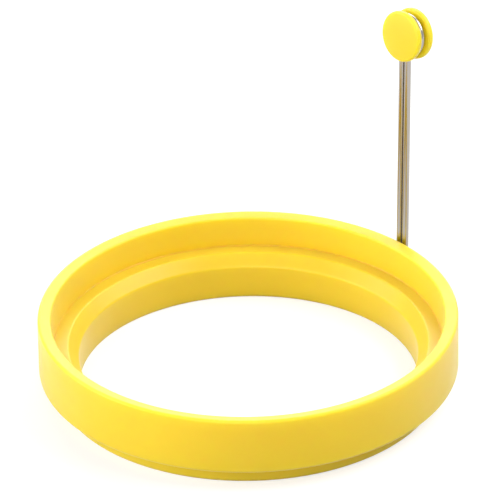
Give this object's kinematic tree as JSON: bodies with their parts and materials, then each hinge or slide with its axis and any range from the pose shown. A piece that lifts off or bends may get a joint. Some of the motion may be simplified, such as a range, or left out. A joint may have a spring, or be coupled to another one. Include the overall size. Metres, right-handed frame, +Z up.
{
  "type": "egg ring",
  "caption": "Round stepped silicone ring that shapes an egg in a pan, with a thin upright wire handle hinged at its side and a round silicone button at the top.",
  "frame": {"origin": "centre of the ring's foot, on the surface that it stands on", "axes": "+Z up along the ring's axis; the handle stands at 45 degrees between +X and +Y"},
  "size_m": [0.1, 0.1, 0.0804],
  "materials": {
    "yellow_silicone": "satin moulded silicone",
    "stainless_wire": "bright drawn stainless wire"
  },
  "bodies": {
    "ring": {"silicone_ring": "yellow_silicone"},
    "handle": {"wire_handle": "stainless_wire", "silicone_button": "yellow_silicone"}
  },
  "joints": [
    {"name": "handle_fold", "type": "hinge", "parent": "ring", "child": "handle", "pos_m": [0.03613, 0.03613, 0.013], "axis": [-0.7071, 0.7071, 0], "range_deg": [-3, 90]}
  ]
}
